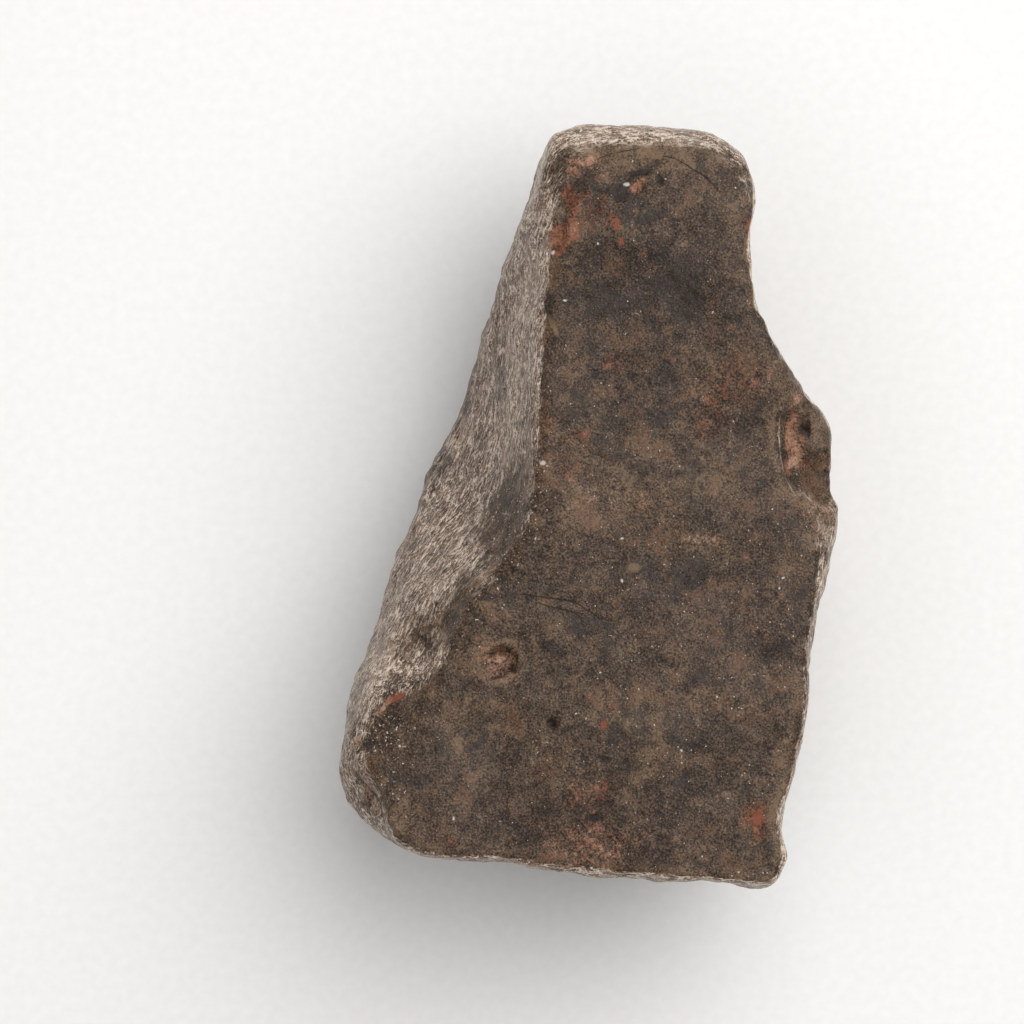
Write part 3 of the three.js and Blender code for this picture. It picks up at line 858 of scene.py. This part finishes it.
def light_tent(settings):
    """A light tent: dim low walls, a bright slanting roof, and a dim hole over the stone where the camera looks in."""
    world = bpy.data.worlds.new("light_tent")
    world.use_nodes = True
    tree = world.node_tree
    tree.nodes.clear()
    up = add(tree, "SeparateXYZ", {0: add(tree, "TexCoord", out="Generated")}, out="Z")
    inputs = {0: up, 1: TENT_RISE[0], 2: TENT_RISE[1], 3: settings.wall_glow, 4: settings.roof_glow}
    glow = add(tree, "MapRange", inputs, interpolation_type="SMOOTHSTEP")
    inputs = {0: up, 1: TENT_HOLE[0], 2: TENT_HOLE[1], 3: glow, 4: settings.wall_glow}
    glow = add(tree, "MapRange", inputs, interpolation_type="SMOOTHSTEP")
    add(tree, "OutputWorld", {"Surface": add(tree, "Background", {"Color": (1, 1, 1, 1), "Strength": glow})})
    return world


# ---------------------------------------------------------------------------
# Settings, operators and panel
# ---------------------------------------------------------------------------


# In metres: where the soft light points, and the nearest that the camera sees.
KEY_AIM = (0, 0, 0.02)
CLIP_START = 0.01


class MeteoriteSettings(PropertyGroup):
    """Sizes and colours of the stone and its studio that a user would change."""

    cells_across: IntProperty(name="Cells across", description="Grid cells along X", default=125, min=20, max=126)
    cells_along: IntProperty(name="Cells along", description="Grid cells along Y", default=190, min=30, max=190)
    cells_up: IntProperty(name="Cells up", description="Grid cells along Z", default=80, min=12, max=80)
    lump_height: FloatProperty(name="Lumps", description="Height of the broad lumps, as a share", default=1.0)
    roughening: FloatProperty(name="Roughening", description="Height of dents, bumps and pits, as a share", default=1.0)
    grain: FloatProperty(name="Grain", description="Height of the fine grain, as a share", default=1.0)
    varnish_colour: FloatVectorProperty(
        name="Varnish", description="Middle tone of the desert varnish", subtype="COLOR", default=linear("#4a3a2e")[:3]
    )
    # middle tone of steep faces: bare rock with painted glare
    broken_colour: FloatVectorProperty(
        name="Broken faces", description="Middle tone of steep faces", subtype="COLOR", default=linear("#745b49")[:3]
    )
    rust_colour: FloatVectorProperty(
        name="Rust", description="Middle tone of the rust", subtype="COLOR", default=linear("#6e3d27")[:3]
    )
    floor_colour: FloatVectorProperty(
        name="Floor colour", description="Colour of the paper", subtype="COLOR", default=linear("#f3f2f0")[:3]
    )
    floor_size: FloatProperty(name="Floor", description="Side of the floor", default=4.0, unit="LENGTH")
    view_height: FloatProperty(name="View height", description="Camera above the floor", default=0.628, unit="LENGTH")
    view_width: FloatProperty(
        name="View width", description="Width seen at the stone's top", default=0.1068, unit="LENGTH"
    )
    view_level: FloatProperty(
        name="View level", description="Height at which the width is seen", default=0.028, unit="LENGTH"
    )
    view_centre: FloatVectorProperty(
        name="View centre", description="Where the camera stands", size=2, default=(-0.00798, -0.00068), unit="LENGTH"
    )
    key_power: FloatProperty(name="Key light", description="Power of the large soft light", default=9.8, unit="POWER")
    key_size: FloatProperty(name="Key size", description="Width of the soft light", default=1.2, unit="LENGTH")
    key_place: FloatVectorProperty(
        name="Key place", description="Where the soft light hangs", size=3, default=(0.38, 0.39, 0.84), unit="LENGTH"
    )
    wall_glow: FloatProperty(name="Wall glow", description="Brightness of the tent's low walls", default=0.18)
    roof_glow: FloatProperty(name="Roof glow", description="Brightness of the tent's slanting roof", default=0.75)


class METEORITE_OT_stone(Operator):
    """Builds the stone with its relief, stains and material"""

    bl_idname = "meteorite.stone"
    bl_label = "Build stone"

    def execute(self, context):
        settings = context.scene.meteorite
        cells = (settings.cells_across, settings.cells_along, settings.cells_up)
        box_points, quads = box_grid(cells)
        smooth = draw_in(box_points, settings.lump_height)
        normal = outward(smooth, settings.lump_height)
        height = relief(smooth, normal, settings)
        resting = smooth_step(*RESTING_FADE, smooth[:, 2])
        skin = rest_on_floor(smooth + normal * (height * resting)[:, None])

        mesh = bpy.data.meshes.new("meteorite_stone")
        mesh.from_pydata(skin * MM, [], quads)
        mesh.polygons.foreach_set("use_smooth", np.ones(len(quads), bool))
        masks = {name: stain(smooth, normal, patches) for name, patches in STAINS_AND_HIGHLIGHTS.items()}
        pit_depth_share = np.clip(-height / HOLLOW[0] - HOLLOW[1], 0, 1)
        masks["hollow"] = pit_depth_share * smooth_step(*HOLLOW_FACING, normal[:, 2])
        masks["bare_and_glare"] = bare_and_glare_share(smooth, normal) * (1 - masks.pop("kept"))
        masks["edge"] = edge_wear(smooth, normal, settings.lump_height)
        for name, values in masks.items():
            mesh.attributes.new(name, "FLOAT", "POINT").data.foreach_set("value", values.astype(np.float32))
        around = mesh.attributes.new("around", "FLOAT_VECTOR", "POINT")
        around.data.foreach_set("vector", round_the_stone(smooth).astype(np.float32).ravel())
        mesh.validate()
        if len(mesh.polygons) != len(quads):
            raise RuntimeError("the stone's skin lost faces")
        stone_object = bpy.data.objects.new("meteorite_stone", mesh)
        context.scene.collection.objects.link(stone_object)
        mesh.materials.append(chondrite(settings))
        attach(stone_object, "root")
        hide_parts("meteorite")
        return {"FINISHED"}


class METEORITE_OT_stage(Operator):
    """Sets the floor, the lights and the camera"""

    bl_idname = "meteorite.stage"
    bl_label = "Set stage"

    def execute(self, context):
        settings = context.scene.meteorite
        scene = context.scene
        half = settings.floor_size / 2
        mesh = bpy.data.meshes.new("floor")
        mesh.from_pydata([(-half, -half, 0), (half, -half, 0), (half, half, 0), (-half, half, 0)], [], [(0, 1, 2, 3)])
        floor = bpy.data.objects.new("floor", mesh)
        scene.collection.objects.link(floor)
        mesh.materials.append(studio_paper(settings))

        scene.world = light_tent(settings)

        light = bpy.data.lights.new("key", "AREA")
        light.shape = "DISK"
        light.size = settings.key_size
        light.energy = settings.key_power
        key = bpy.data.objects.new("key", light)
        key.location = settings.key_place
        key.rotation_euler = (Vector(KEY_AIM) - key.location).to_track_quat("-Z", "Y").to_euler()
        scene.collection.objects.link(key)

        data = bpy.data.cameras.new("camera")
        distance = settings.view_height - settings.view_level
        data.lens = data.sensor_width * distance / settings.view_width
        data.clip_start = CLIP_START
        camera = bpy.data.objects.new("camera", data)
        camera.location = (*settings.view_centre, settings.view_height)
        scene.collection.objects.link(camera)
        scene.camera = camera
        scene.view_settings.view_transform = "Standard"
        return {"FINISHED"}


class METEORITE_PT_panel(Panel):
    """Lists the stone's settings and its build steps"""

    bl_label = "Meteorite"
    bl_idname = "METEORITE_PT_panel"
    bl_space_type = "VIEW_3D"
    bl_region_type = "UI"
    bl_category = "Meteorite"

    def draw(self, context):
        layout = self.layout
        for name in MeteoriteSettings.__annotations__:
            layout.prop(context.scene.meteorite, name)
        layout.operator(METEORITE_OT_stone.bl_idname)
        layout.operator(METEORITE_OT_stage.bl_idname)


CLASSES = (MeteoriteSettings, METEORITE_OT_stone, METEORITE_OT_stage, METEORITE_PT_panel)


def register():
    for cls in CLASSES:
        bpy.utils.register_class(cls)
    bpy.types.Scene.meteorite = PointerProperty(type=MeteoriteSettings)


def unregister():
    del bpy.types.Scene.meteorite
    for cls in reversed(CLASSES):
        bpy.utils.unregister_class(cls)


def main():
    register()
    bpy.ops.meteorite.stone()
    bpy.ops.meteorite.stage()


if __name__ == "__main__":
    main()
